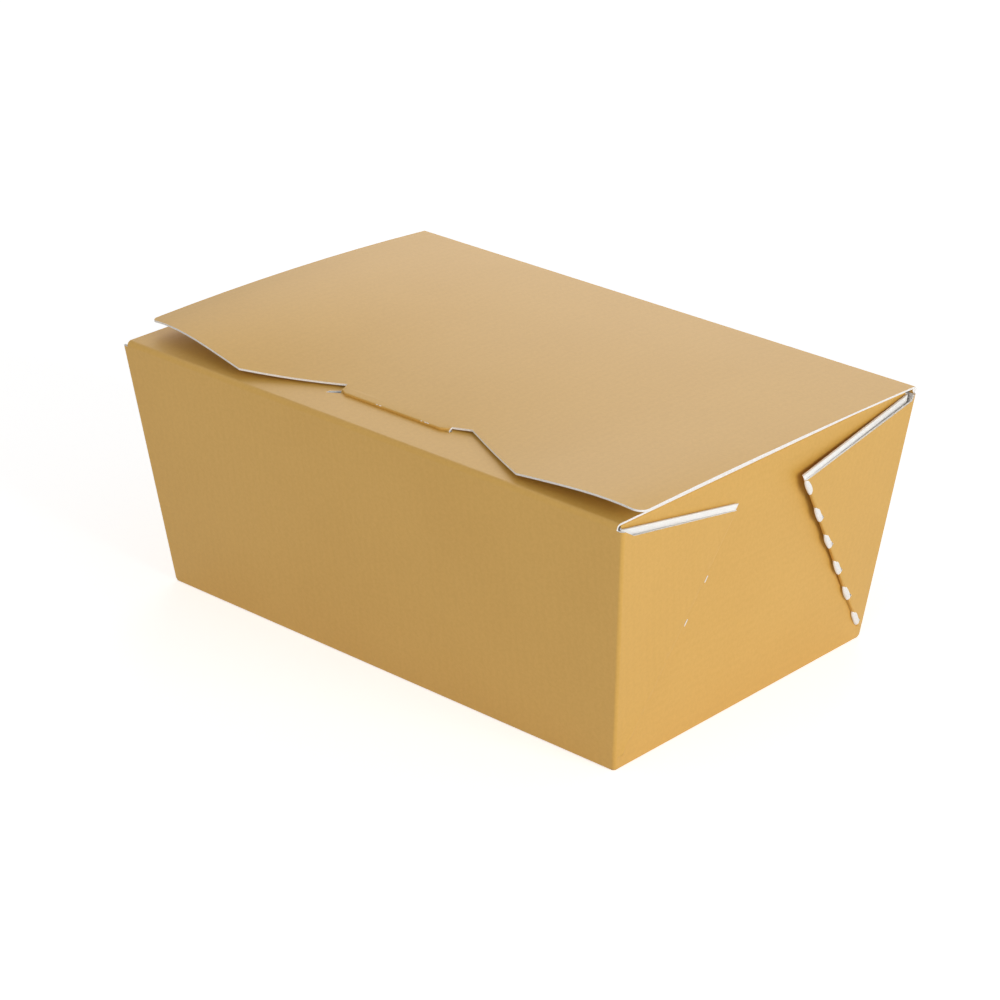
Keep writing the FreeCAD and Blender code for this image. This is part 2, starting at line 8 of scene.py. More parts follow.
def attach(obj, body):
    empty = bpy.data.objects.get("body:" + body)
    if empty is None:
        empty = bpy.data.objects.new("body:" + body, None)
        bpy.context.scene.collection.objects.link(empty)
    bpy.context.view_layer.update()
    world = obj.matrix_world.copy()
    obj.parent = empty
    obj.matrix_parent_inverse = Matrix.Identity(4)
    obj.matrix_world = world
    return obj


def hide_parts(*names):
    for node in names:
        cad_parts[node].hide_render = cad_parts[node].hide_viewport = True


# A ballotin folded from board that is gold outside and white inside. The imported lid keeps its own
# shape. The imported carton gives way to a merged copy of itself, whose webs are cut back to their
# top edges. Each face gets the finish of the board's side that it shows. Added to them are the torn
# paper at the perforations, the crease at the tongue's root and the back wall's swollen top edge.
# The script works in metres. The origin is on the floor, -Y is the front, +Z is up.

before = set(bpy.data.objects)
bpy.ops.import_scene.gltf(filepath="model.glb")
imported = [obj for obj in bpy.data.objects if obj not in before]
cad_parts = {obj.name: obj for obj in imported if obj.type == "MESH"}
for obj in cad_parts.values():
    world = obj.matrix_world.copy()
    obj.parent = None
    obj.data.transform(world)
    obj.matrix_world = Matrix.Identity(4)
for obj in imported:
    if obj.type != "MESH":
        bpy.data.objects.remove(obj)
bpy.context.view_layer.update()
MM = 0.001  # a millimetre, in metres

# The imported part's own sizes, in millimetres.
BASE_HALF = (68.0, 43.0)  # half the base's length and width
BOARD = 0.45  # the board's thickness
FLARE_LONG = 7 / 61  # how much the webs' outer plies lean out for each unit of height
FLARE_WIDE = 7 / 61  # the long walls
FLARE_END = 5 / 61  # the end walls
FLARE_SIDE = 6.4 / 61  # the end walls' side edges
SIDE_FOOT = 41.9  # half the end walls' width at the foot
CORNER_ROUND = 0.8  # the outer radius of the corners' upright creases
RIM = 59.662  # the level of the walls' top edges
FLAP_LEVEL = 60.35  # the end flaps' upper face
FRONT_FLAP_LEVEL = 61.0  # the front flap's upper face
FOOT = 3.5  # the level from which the webs' plies part
PLY_GAP = 0.25  # how far a shut web's plies have parted at the rim
PLY_STEP = 1.2  # how far the outer ply stops below the inner one at the fold
BACK_SPRING = 1.45  # how much further the back webs have sprung open
FOLD_HALF = 0.5  # the outer radius of the hairpin that joins the plies
FOLD_RUN = 0.62672  # how far the fold leans inwards for each unit of height
FOLD_RISE = 0.84531  # how far it rises for each unit of its length
FOLD_TOP = 52.41  # where the inner ply ends at the fold
FIRST_CUT = 7.6  # the first cut's middle, along the fold
CUT_PITCH = 10.1  # from one cut's middle to the next
CUTS = 6  # in each web's fold
HINGE = (49.2612, 60.6623)  # the lid's axis, in y and z
BEAD_RADIUS = 0.7  # the lid's rolled crease round that axis
BEAD_SPARE = 0.03  # a face this near the crease belongs to it
LEAST_SPAN = 0.1  # keeps the division for a web's share of its width clear of zero
TONGUE_HALF = 16.2  # half the tongue's width
TONGUE_BACK = -36.0  # the tongue stands between these two depths
TONGUE_FRONT = -40
TONGUE_TOP = 61.8  # the tongue's faces are under this
TONGUE_END = 50.5  # just above the tongue's lower edge
RIB_PITCH = 2.16  # the faint ribs of the board's surface

# Where the carton's pieces are told apart, in millimetres.
ROUGH_HALF = (75, 50, 30)  # half the box's sizes, by which outward is judged
FLAP_UNDER = 59.5  # under the end flaps
FLAP_REACH = (72.4, 48.3)  # the end flaps lie inside these, in x and y
FLAP_CREASE = 71  # outside this, an end flap's upright faces belong to its crease
FRONT_CREASE = -48.6  # behind this, the front flap is flat
RIM_EDGE = 40  # outside this depth, the walls' top face is a cut edge
CREASE_FOOT = 0.1  # above this, the upright creases are round
SKIN = 0.02  # a face this near a surface lies on it
SPARE = 0.05  # room for a face's middle past the edge of its own piece
WEB_SPARE = (0.15, 0.3, 0.1)  # that room at a web's wall, fold and foot
CUT_BAND = (4, 1)  # the front webs' cuts are this far under the fold's top, and this near the fold
WALL_BAND = 0.6  # how far inside an end wall's face its own faces may lie
WALL_LEVELS = (0.4, RIM + 0.3)  # the levels between which they lie
WEB_STAND = 0.3  # how far outside the end wall a web's faces are
WEB_SLANT = 0.18  # how much the fold slants a web's ribs for each unit of height

# Parts of a unit normal, by which faces are sorted.
STANDING = 0.5  # a face whose upright part is under this stands
FACING = 0.9  # above this, a face looks along the axis
TURNED = 0.3  # above this, a web's face looks along Y
ACROSS = 0.1  # a web's face with less than this along X crosses the sheet
UNDER = 0.7  # a face of the tongue with more than this downwards is its lower edge

# The blocks that cut the webs back, in millimetres.
FRONT_SHOULDER = (3.0, 1.9)  # beside a corner, how far along and down the top edge's steep part goes
BACK_SHOULDER = (0.6, 1.4)
BLOCK_START = 2.0  # how near the end wall's middle a block starts
BLOCK_TOP = 60.1  # the level of a block's top
BLOCK_OUT = 90.0  # a block's outer face, along X
BLOCK_CLEAR = 0.4  # from a block's upper inner face to the end wall
BLOCK_LIFT = 0.01  # how far above the inner ply's edge a block steps in
BLOCK_ROWS = 12  # along each stretch of the top edge
STEP_IN = 0.02  # how far a block's inner face keeps off the middle between the plies
MERGE = 0.001  # corners nearer than this are one
SHEET_SHARP = 32  # degrees between faces, above which an edge stays sharp

# The back wall's swollen edge and the crease at the tongue's root, in millimetres.
RIDGE_TOP = 59.92  # the level of the ridge's top
RIDGE_SPARE = 0.01  # how far the ridge stands proud of the wall on each side
RIDGE_SINK = 0.5  # how far its foot reaches down into the wall
RIDGE_STEPS = 9  # points round its top
ROOT_START = -36.95  # the depth at which the root leaves the lid
ROOT_TOP = 61.77  # the level at which it leaves the lid
ROOT_REACH = 1.95  # how far its front is from there
ROOT_FALL = 0.13  # how much lower its front is
ROOT_TAPER = 2.2  # the length of its two narrowing ends
ROOT_END_GAP = 0.05  # between its ends and the tongue's sides
ROOT_PLACES = 61  # sections along it
ROOT_STEPS = 6  # points along its top
ROOT_UNDER = ((0.02, 0.03), (-0.9, 0.1), (-0.1, -0.3))  # its three corners underneath
NOSE = 0.25  # the radius of its rounded front
NOSE_STEPS = 7
BAR_SHARP = 40  # degrees

# Torn paper, in millimetres. A tuft's sizes are half its length, width and height. Its shift is from
# a cut's middle: along the fold, across it on to the web, and outwards.
TUFT_RINGS = 16
TUFT_SIDES = 16
TUFT_RIPPLE = 0.07  # as a share of its girth
BACK_TUFT, BACK_TUFT_SHIFT = (2.6, 0.9, 0.5), (-0.2, 0.38, -0.34)
FRONT_TUFT, FRONT_TUFT_SHIFT = (0.85, 0.13, 0.1), (-3.2, -0.12, -0.02)
FRONT_TEARS = (3, 4)  # the front webs' cuts that show a torn edge
ROOT_FLECKS = ((-4.6, 0.25), (-3.6, 0.35), (8.7, 0.2), (9.9, 0.3), (10.6, 0.35))  # place, half length
FLECK_GIRTH = (0.1, 0.05)  # half their width and height
FLECK_LEAN = 0.7  # the sine and cosine of the flecks' slope
FLECK_SINK = (0.06, 0.08)  # how far behind and below the nose's corner they sit

# Colours, as a screen shows them.
DEEP_GOLD, LIGHT_GOLD = (208, 160, 67), (218, 171, 79)
DULL_BOARD, BRIGHT_BOARD = (243, 241, 237), (250, 249, 246)
DULL_PULP, BRIGHT_PULP = (238, 234, 228), (250, 248, 245)

# The studio, in metres, watts and degrees.
FLOOR_HALF = 3.0  # half its side
FLOOR_GREY = 0.8
FLOOR_GLOW = 0.6  # added to what the camera sees of it
WORLD_LIGHT = 0.38  # what the white surround gives
LAMPS = {  # place, target, size, power
    "key": ((1.0, 0.0, 0.28), (0, 0, 0.03), 0.5, 5.0),
    "fill": ((0.2, -1.2, 0.5), (0, 0, 0.03), 0.8, 3.1),
    "back": ((-0.7, 1.0, 0.55), (0, 0, 0.06), 0.7, 2.6),
}
CAMERA_PLACE = (0.4520, -0.4999, 0.3328)
CAMERA_TURN = (42.36, 24.38, 0.21)  # azimuth, elevation and roll
LENS, SENSOR = 116.83, 36  # millimetres
NEAR_CLIP = 0.01  # metres


# ---------------------------------------------------------------- node trees

def colour(shown):
    """A colour given as the eight-bit values that a screen shows, made linear, with alpha."""
    shown = np.array(shown) / 255
    linear = np.where(shown <= 0.04045, shown / 12.92, ((shown + 0.055) / 1.055) ** 2.4)
    return (*linear.tolist(), 1.0)


def node(tree, kind, inputs=None, **settings):
    """A node with its settings, and its inputs linked to a socket or set to a value."""
    made = tree.nodes.new("ShaderNode" + kind)
    for name, value in settings.items():
        setattr(made, name, value)
    for key, value in (inputs or {}).items():
        if isinstance(value, bpy.types.NodeSocket):
            tree.links.new(value, made.inputs[key])
        else:
            made.inputs[key].default_value = value
    return made


def maths(tree, operation, first, second=0.0, third=0.0):
    """The result of one arithmetic step on sockets or numbers."""
    return node(tree, "Math", {0: first, 1: second, 2: third}, operation=operation).outputs[0]


def mixed(tree, share, first, second):
    """A colour between two, by share."""
    blend = node(tree, "Mix", {0: share, 6: first, 7: second}, data_type="RGBA")
    return blend.outputs[2]


def ramp(tree, value, low, high, start=0.0, end=1.0):
    """A value from start to end as value goes smoothly from low to high."""
    return node(tree, "MapRange", {0: value, 1: low, 2: high, 3: start, 4: end},
                interpolation_type="SMOOTHSTEP").outputs[0]


def finish(name, **sockets):
    """A material with one Principled shader, whose sockets are set by name."""
    material = bpy.data.materials.new(name)
    material.use_nodes = True
    tree = material.node_tree
    tree.nodes.clear()
    shader = node(tree, "BsdfPrincipled")
    for key, value in sockets.items():
        shader.inputs[key.replace("_", " ")].default_value = value
    output = node(tree, "OutputMaterial")
    tree.links.new(shader.outputs[0], output.inputs[0])
    return material, tree, shader


def noise(tree, scale, detail):
    """Noise on the object's own coordinates; scale is in features per metre."""
    place = node(tree, "TexCoord").outputs["Object"]
    made = node(tree, "TexNoise", {"Vector": place, "Scale": scale, "Detail": detail,
                                   "Roughness": 0.5})
    return made.outputs[0]


def gold_board():
    """Satin gold print over faintly ribbed board. The ribs follow the attribute rib, in metres."""
    material, tree, shader = finish("gold_board", Metallic=0.12, Roughness=0.5,
                                    Specular_IOR_Level=0.8)
    rib = node(tree, "Attribute", attribute_name="rib").outputs["Fac"]
    turns = maths(tree, "MULTIPLY", rib, 2 * math.pi / (RIB_PITCH * MM))
    wave = maths(tree, "SINE", turns)
    grain = noise(tree, 1400, 3)
    cloud = noise(tree, 35, 3)
    tone = maths(tree, "ADD", ramp(tree, cloud, 0.3, 0.7, -0.12, 0.12),
                 ramp(tree, grain, 0.3, 0.7, -0.2, 0.2))
    tone = maths(tree, "MULTIPLY_ADD", wave, 0.05, maths(tree, "ADD", tone, 0.5))
    gold = mixed(tree, tone, colour(DEEP_GOLD), colour(LIGHT_GOLD))
    tree.links.new(gold, shader.inputs["Base Color"])
    height = maths(tree, "MULTIPLY_ADD", wave, 0.0000022,
                   maths(tree, "MULTIPLY", grain, 0.000012))
    bump = node(tree, "Bump", {"Strength": 1.0, "Distance": 1.0, "Height": height})
    tree.links.new(bump.outputs[0], shader.inputs["Normal"])
    return material


def white_board():
    """The board's bare inside: white, with short faint fibres."""
    material, tree, shader = finish("white_board", Roughness=0.62)
    cloud = noise(tree, 120, 4)
    fibre = noise(tree, 1800, 3)
    tone = maths(tree, "ADD", ramp(tree, cloud, 0.2, 0.8, 0.3, 0.6),
                 ramp(tree, fibre, 0.35, 0.65, 0.0, 0.4))
    white = mixed(tree, tone, colour(DULL_BOARD), colour(BRIGHT_BOARD))
    tree.links.new(white, shader.inputs["Base Color"])
    bump = node(tree, "Bump", {"Strength": 1.0, "Distance": 0.000012, "Height": fibre})
    tree.links.new(bump.outputs[0], shader.inputs["Normal"])
    return material


def cut_edge():
    """The board's cut edge: bright pulp, with the fine streaks a knife leaves."""
    material, tree, shader = finish("cut_edge", Roughness=0.75)
    fibre = noise(tree, 2600, 3)
    white = mixed(tree, ramp(tree, fibre, 0.3, 0.7), colour(DULL_PULP), colour(BRIGHT_PULP))
    tree.links.new(white, shader.inputs["Base Color"])
    bump = node(tree, "Bump", {"Strength": 1.0, "Distance": 0.00002, "Height": fibre})
    tree.links.new(bump.outputs[0], shader.inputs["Normal"])
    return material


# ---------------------------------------------------------------- the carton's own board

def web_cutter(end, back):
    """The closed block that takes a web's outer ply away above its top edge.

    Its underside is the top edge, a line of points in depth and level, carried out along X. Its
    inner face runs midway between the two plies as far up as the inner ply goes, and above that
    it steps in towards the end wall. Its outer face is flat. Rows go along the line, and columns
    up from it.
    """
    corner = BASE_HALF[1] + FLARE_WIDE * RIM - CORNER_ROUND
    run, drop = BACK_SHOULDER if back > 0 else FRONT_SHOULDER
    level = FOLD_TOP - PLY_STEP
    knots = np.array([(BLOCK_START, level), (fold_line(level), level), (corner - run, RIM - drop),
                      (corner, RIM)])
    depth = np.concatenate([np.linspace(first, last, BLOCK_ROWS, endpoint=False)
                            for first, last in zip(knots[:-1, 0], knots[1:, 0])] + [knots[-1:, 0]])
    low = np.interp(depth, knots[:, 0], knots[:, 1])
    inner_top = np.interp(depth, (fold_line(FOLD_TOP), corner), (FOLD_TOP, RIM)) + BLOCK_LIFT
    z = np.stack([low, inner_top, inner_top + STEP_IN, np.full(len(low), BLOCK_TOP)], axis=1)
    y = np.broadcast_to(depth[:, None], z.shape)
    inner = between_plies(z, y, back > 0) - STEP_IN
    inner[:, 2:] = BASE_HALF[0] + FLARE_END * z[:, 2:] + BLOCK_CLEAR
    outer = np.full(z.shape, BLOCK_OUT)
    points = np.stack([np.stack([x * end, y * back, z], axis=-1) for x in (inner, outer)])
    rows, columns = z.shape
    index = np.arange(2 * rows * columns).reshape(2, rows, columns)
    quads = []
    for layer, turn in ((index[0], 1), (index[1], -1)):
        loop = np.stack([layer[:-1, :-1], layer[1:, :-1], layer[1:, 1:], layer[:-1, 1:]], -1)
        quads.append(loop.reshape(-1, 4)[:, ::turn])
    for rim, turn in ((index[:, :, 0], 1), (index[:, :, -1], -1),
                      (index[:, 0], -1), (index[:, -1], 1)):
        loop = np.stack([rim[0, :-1], rim[1, :-1], rim[1, 1:], rim[0, 1:]], -1)
        quads.append(loop[:, ::turn])
    faces = np.concatenate(quads)
    return points.reshape(-1, 3) * MM, faces[:, ::-1] if end * back > 0 else faces


def whole(name, shells):
    """One mesh object of several closed shells, each given as its points and its faces."""
    points, faces, start = [], [], 0
    for shell_points, shell_faces in shells:
        points.append(shell_points)
        faces += [[corner + start for corner in face] for face in shell_faces]
        start += len(shell_points)
    mesh = bpy.data.meshes.new(name)
    mesh.from_pydata(np.concatenate(points).tolist(), [], faces)
    thing = bpy.data.objects.new(name, mesh)
    bpy.context.scene.collection.objects.link(thing)
    return thing


def trimmed_carton():
    """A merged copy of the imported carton, its webs' outer plies cut back to their top edges.

    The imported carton's inner plies end where they should, but its outer ones run up to the rim,
    and a block takes away what is above each one's real edge.
    """
    build = bmesh.new()
    build.from_mesh(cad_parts["carton"].data)
    bmesh.ops.remove_doubles(build, verts=build.verts, dist=MERGE * MM)
    mesh = bpy.data.meshes.new("carton_board")
    build.to_mesh(mesh)
    build.free()
    carton = bpy.data.objects.new("carton_board", mesh)
    bpy.context.scene.collection.objects.link(carton)
    cutter = whole("cutter", [web_cutter(end, back) for end in (1, -1) for back in (1, -1)])
    trim = carton.modifiers.new("trim", "BOOLEAN")
    trim.operation = "DIFFERENCE"
    trim.solver = "EXACT"
    trim.object = cutter
    graph = bpy.context.evaluated_depsgraph_get()
    trimmed = bpy.data.meshes.new_from_object(carton.evaluated_get(graph))
    carton.modifiers.clear()
    bpy.data.objects.remove(cutter)
    build = bmesh.new()
    build.from_mesh(trimmed)
    bmesh.ops.triangulate(build, faces=build.faces)
    build.to_mesh(mesh)
    build.free()
    mesh.polygons.foreach_set("use_smooth", np.ones(len(mesh.polygons), bool))
    mesh.set_sharp_from_angle(angle=math.radians(SHEET_SHARP))
    even = carton.modifiers.new("even", "WEIGHTED_NORMAL")
    even.mode = "FACE_AREA"
    even.weight = 100
    even.keep_sharp = True
    return carton


GOLD, WHITE, EDGE = 0, 1, 2
board_finishes = [gold_board(), white_board(), cut_edge()]


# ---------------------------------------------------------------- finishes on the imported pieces

def triangles(thing):
    """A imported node's triangles: corners (n, 3, 3) in millimetres, centres and unit normals."""
    mesh = thing.data
    points = np.empty(len(mesh.vertices) * 3, np.float32)
    mesh.vertices.foreach_get("co", points)
    used = np.empty(len(mesh.loops), np.int32)
    mesh.loops.foreach_get("vertex_index", used)
    corners = points.reshape(-1, 3)[used].reshape(-1, 3, 3).astype(float) / MM
    across = np.cross(corners[:, 1] - corners[:, 0], corners[:, 2] - corners[:, 0])
    lengths = np.linalg.norm(across, axis=1, keepdims=True)
    return corners, corners.mean(axis=1), across / np.maximum(lengths, 1e-12)


def fold_line(level):
    """How far a web's fold is from the middle of the end wall at a level."""
    return BASE_HALF[1] - FOLD_RUN * level


def between_plies(level, depth, back):
    """Where, along X, the space between a web's two plies is: a straight line from the fold's
    middle to the middle of the space at the corner, at each level."""
    spring = np.where(back, BACK_SPRING, 0)
    share = (level - FOOT) / (RIM - FOOT)
    stack = 2 * FOLD_HALF - BOARD + (PLY_GAP + BOARD + spring) * share
    wall = BASE_HALF[0] + FLARE_END * level
    at_fold = wall + stack - FOLD_HALF
    inner = wall + BOARD + (PLY_GAP + BOARD) * share - BOARD
    outer = BASE_HALF[0] + FLARE_LONG * level - BOARD
    side = SIDE_FOOT + FLARE_SIDE * level
    start = fold_line(level) + FOLD_HALF
    along = np.clip((depth - start) / np.maximum(side - start, LEAST_SPAN), 0, 1)
    return at_fold + ((inner + outer) / 2 - at_fold) * along


def carton_sides(corners, centres, normals):
    """Which side of the board each of the carton's triangles shows.

    Away from the webs the gold side faces out of the box. A web's outer ply is gold outside and
    white inside; its inner ply has been turned over by the fold, so it is white outside. Faces
    that cross the sheet are cut edges. The front webs' cuts have stayed shut, so they are gold.
    """
    x, y, z = np.abs(centres[:, 0]), centres[:, 1], centres[:, 2]
    nx = normals[:, 0] * np.sign(centres[:, 0])
    ny = normals[:, 1] * np.sign(y)
    nz = normals[:, 2]
    depth = np.abs(y)
    back = y > 0
    long, wide, high = ROUGH_HALF
    outward = nx * (x / long) + ny * (depth / wide) + nz * (z - high) / high
    side = np.where(outward > 0, GOLD, WHITE)
    standing = np.abs(nz) < STANDING
    wall = BASE_HALF[0] + FLARE_END * z
    axis_x = BASE_HALF[0] + FLARE_LONG * z - CORNER_ROUND
    axis_y = BASE_HALF[1] + FLARE_WIDE * z - CORNER_ROUND
    # The webs.
    web = (x > wall - WEB_SPARE[0]) & (depth > fold_line(z) - WEB_SPARE[1])
    web &= (depth < axis_y + SKIN)
    web &= (z > FOOT - WEB_SPARE[2]) & (z < RIM + SPARE)
    outer = x > between_plies(z, depth, back)
    side[web & outer] = np.where(nx[web & outer] > 0, GOLD, WHITE)
    side[web & ~outer] = np.where(nx[web & ~outer] > 0, WHITE, GOLD)
    side[web & (ny < -TURNED) & (np.abs(nx) > ACROSS)] = GOLD
    side[web & ~outer & (ny > TURNED)] = WHITE
    crossing = web & (np.abs(nx) < ACROSS)
    side[crossing] = EDGE
    shut = crossing & ~back & (z < FOLD_TOP - CUT_BAND[0])
    shut &= (depth < fold_line(z) + CUT_BAND[1])
    side[shut] = GOLD
    # The end wall's faces are flush with its slope at all three corners.
    over = np.abs(corners[..., 0]) - BASE_HALF[0] - FLARE_END * corners[..., 2]
    side[(np.abs(over) < SKIN).all(axis=1) & (nx > FACING)] = GOLD
    side[(np.abs(over + BOARD) < SPARE).all(axis=1) & (nx < -FACING)] = WHITE
    # The flaps.
    end_flap = (z > FLAP_UNDER) & (z < FLAP_LEVEL + SPARE)
    end_flap &= (x < FLAP_REACH[0]) & (depth < FLAP_REACH[1])
    side[end_flap & (nz > STANDING)] = GOLD
    side[end_flap & (nz < -STANDING)] = WHITE
    side[end_flap & standing & (x < FLAP_CREASE)] = EDGE
    front_flap = (z > FRONT_FLAP_LEVEL - BOARD - SKIN) & (y > FRONT_CREASE)
    side[front_flap & (nz > STANDING)] = GOLD
    side[front_flap & (nz < -STANDING)] = WHITE
    side[front_flap & standing] = EDGE
    side[(z > RIM) & (y < FRONT_CREASE) & (nx > FACING)] = EDGE
    # The corners' upright creases: gold on the outer round, white on the inner.
    out = np.hypot(x - axis_x, depth - axis_y)
    crease = (x > axis_x - SKIN) & (depth > axis_y - SKIN) & standing
    crease &= (z > CREASE_FOOT) & (z < RIM - SKIN)
    side[crease] = np.where(out[crease] > CORNER_ROUND - BOARD / 2, GOLD, WHITE)
    side[(np.abs(z - RIM) < SKIN) & (nz > FACING) & (depth > RIM_EDGE)] = EDGE
    return side


def carton_ribs(corners, centres):
    """The rib coordinate at each triangle's corners, in millimetres.

    The ribs run across the sheet, so it is the distance along the box on the long walls, the
    bottom and the front flap; the unfolded distance up the end walls and along their flaps; and
    the distance across the webs, which the folding has turned by the corner's flare.
    """
    x, y, z = np.abs(corners[..., 0]), np.abs(corners[..., 1]), corners[..., 2]
    middle_x, middle_y, middle_z = np.abs(centres[:, 0]), np.abs(centres[:, 1]), centres[:, 2]
    rib = corners[..., 0].copy()
    wall = BASE_HALF[0] + FLARE_END * middle_z
    climb = BASE_HALF[0] + z * math.hypot(1, FLARE_END)
    on_wall = middle_x > wall - WALL_BAND
    on_wall &= (middle_z > WALL_LEVELS[0]) & (middle_z < WALL_LEVELS[1])
    rib[on_wall] = climb[on_wall]
    on_flap = (middle_z > FLAP_UNDER) & (middle_z < FLAP_LEVEL + SPARE) & ~on_wall
    unfolded = BASE_HALF[0] * 2 + RIM + FLARE_END * RIM - x
    rib[on_flap] = unfolded[on_flap]
    on_web = on_wall & (middle_y > fold_line(middle_z)) & (middle_x > wall + WEB_STAND)
    rib[on_web] = (y - WEB_SLANT * z)[on_web]
    return rib


def lid_sides(centres, normals):
    """Which side of the board each of the lid's triangles shows."""
    x, y, z = np.abs(centres[:, 0]), centres[:, 1], centres[:, 2]
    nx, ny, nz = np.abs(normals[:, 0]), normals[:, 1], normals[:, 2]
    side = np.where(nz > 0, GOLD, WHITE)
    side[np.abs(nz) < STANDING] = EDGE
    tongue = (x < TONGUE_HALF + SPARE) & (y < TONGUE_BACK) & (y > TONGUE_FRONT)
    tongue &= (z < TONGUE_TOP) & (nx < STANDING)
    side[tongue] = np.where(-ny[tongue] + nz[tongue] > 0, GOLD, WHITE)
    side[tongue & (nz < -UNDER) & (z < TONGUE_END)] = EDGE
    side[(x < TONGUE_HALF + SPARE) & (z < FRONT_FLAP_LEVEL) & (nx > STANDING)] = EDGE
    bead = np.hypot(y - HINGE[0], z - HINGE[1]) < BEAD_RADIUS + BEAD_SPARE
    side[bead] = np.where(nx[bead] > FACING, EDGE, GOLD)
    return side


def dress(thing, sides, ribs):
    """Gives a piece the board's three finishes, and its rib coordinate in metres."""
    mesh = thing.data
    mesh.materials.clear()
    for material in board_finishes:
        mesh.materials.append(material)
    mesh.polygons.foreach_set("material_index", sides.astype(np.int32))
    layer = mesh.attributes.new("rib", "FLOAT", "CORNER")
    layer.data.foreach_set("value", (ribs.ravel() * MM).astype(np.float32))
    mesh.update()


carton = trimmed_carton()
carton_corners, carton_centres, carton_normals = triangles(carton)
dress(carton, carton_sides(carton_corners, carton_centres, carton_normals),
      carton_ribs(carton_corners, carton_centres))
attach(carton, "carton")
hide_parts("carton")
lid_corners, lid_centres, lid_normals = triangles(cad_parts["lid"])
dress(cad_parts["lid"], lid_sides(lid_centres, lid_normals), lid_corners[..., 0])


# ---------------------------------------------------------------- torn paper

def tuft(centre, along, across, out, sizes, seed):
    """A closed scrap of torn board, as its points and faces, in metres.

    It is an ellipsoid with blunt ends: at angles a (-90 to 90 degrees, end to end) and b (round),
    a point lies at centre + along * length * sin(a) + (across * width * cos(b) +
    out * height * sin(b)) * sqrt(cos(a)) * (1 + a small ripple of both angles).
    """
    a = np.linspace(-math.pi / 2, math.pi / 2, TUFT_RINGS + 1)[1:-1, None]
    b = np.linspace(0, 2 * math.pi, TUFT_SIDES, endpoint=False)[None]
    ripple = 1 + TUFT_RIPPLE * np.sin(3 * a + seed) * np.cos(4 * b + 2 * seed)
    girth = np.sqrt(np.cos(a)) * ripple
    length, width, height = sizes
    rings = (length * np.sin(a)[..., None] * along + (width * np.cos(b) * girth)[..., None] * across
             + (height * np.sin(b) * girth)[..., None] * out)
    points = np.concatenate([rings.reshape(-1, 3), [-length * along], [length * along]]) + centre
    index = np.arange(rings.shape[0] * TUFT_SIDES).reshape(-1, TUFT_SIDES)
    onward = np.roll(index, -1, axis=1)
    quads = np.stack([index[:-1], onward[:-1], onward[1:], index[1:]], -1).reshape(-1, 4).tolist()
    first, last = len(points) - 2, len(points) - 1
    caps = [[first, nxt, this] for this, nxt in zip(index[0], onward[0])]
    caps += [[last, this, nxt] for this, nxt in zip(index[-1], onward[-1])]
    if np.dot(np.cross(across, out), along) < 0:
        quads, caps = [face[::-1] for face in quads], [face[::-1] for face in caps]
    return points * MM, quads + caps


def fold_point(place, end, back):
    """The fold's outermost edge at a distance up the fold, and the fold's direction there."""
    level = place * FOLD_RISE
    spring = BACK_SPRING if back > 0 else 0
    share = (level - FOOT) / (RIM - FOOT)
    stack = 2 * FOLD_HALF - BOARD + (PLY_GAP + BOARD + spring) * share
    point = np.array([end * (BASE_HALF[0] + FLARE_END * level + stack), back * fold_line(level), level])
    rise = (PLY_GAP + BOARD + spring) / (RIM - FOOT)
    along = np.array([end * (FLARE_END + rise), -back * FOLD_RUN, 1.0])
    return point, along / np.linalg.norm(along)


def torn_cuts(name, back, numbers, sizes, shift):
    """The scraps that stand out of a pair of webs' cuts, one for each cut number and end."""
    shells = []
    for end in (1, -1):
        for number in numbers:
            point, along = fold_point(FIRST_CUT + number * CUT_PITCH + shift[0], end, back)
            across = np.cross(along, [end, 0, 0])
            across /= np.linalg.norm(across)
            out = np.cross(across, along)
            out *= np.sign(out[0] * end)
            across *= np.sign(across[1] * back)
            centre = point + across * shift[1] + out * shift[2]
            shells.append(tuft(centre, along, across, out, np.array(sizes), number + end))
    scraps = whole(name, shells)
    scraps.data.materials.append(board_finishes[EDGE])
    scraps.data.polygons.foreach_set("use_smooth", np.ones(len(scraps.data.polygons), bool))
    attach(scraps, "carton")


def root_flecks():
    """Small flecks of bare paper where the tongue's crease has cracked."""
    along = np.array([1.0, 0, 0])
    across = np.array([0, FLECK_LEAN, FLECK_LEAN])
    out = np.array([0, -FLECK_LEAN, FLECK_LEAN])
    shells = []
    for x, length in ROOT_FLECKS:
        centre = np.array([x, ROOT_START - ROOT_REACH + FLECK_SINK[0],
                           ROOT_TOP - ROOT_FALL - FLECK_SINK[1]])
        shells.append(tuft(centre, along, across, out, np.array((length, *FLECK_GIRTH)), x))
    flecks = whole("root_flecks", shells)
    flecks.data.materials.append(board_finishes[EDGE])
    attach(flecks, "lid")


def swept(name, places, section, body):
    """A closed bar along X: section(x) gives the outline's (y, z) points, in millimetres and
    anticlockwise as seen from +X, at each place. A fan closes each end."""
    places = np.asarray(places, float)
    outline = np.stack([section(x) for x in places])
    along = np.broadcast_to(places[:, None, None], outline.shape[:2] + (1,))
    points = np.concatenate([along, outline], axis=2)
    count = outline.shape[1]
    index = np.arange(len(places) * count).reshape(-1, count)
    onward = np.roll(index, -1, axis=1)
    quads = np.stack([index[:-1], index[1:], onward[1:], onward[:-1]], -1).reshape(-1, 4)
    faces = quads[:, ::-1].tolist() + [index[0][::-1].tolist(), index[-1].tolist()]
    bar = whole(name, [(points.reshape(-1, 3) * MM, faces)])
    bar.data.materials.append(board_finishes[GOLD])
    bar.data.polygons.foreach_set("use_smooth", np.ones(len(bar.data.polygons), bool))
    bar.data.set_sharp_from_angle(angle=math.radians(BAR_SHARP))
    layer = bar.data.attributes.new("rib", "FLOAT", "POINT")
    layer.data.foreach_set("value", points.reshape(-1, 3)[:, 0].astype(np.float32) * MM)
    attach(bar, body)


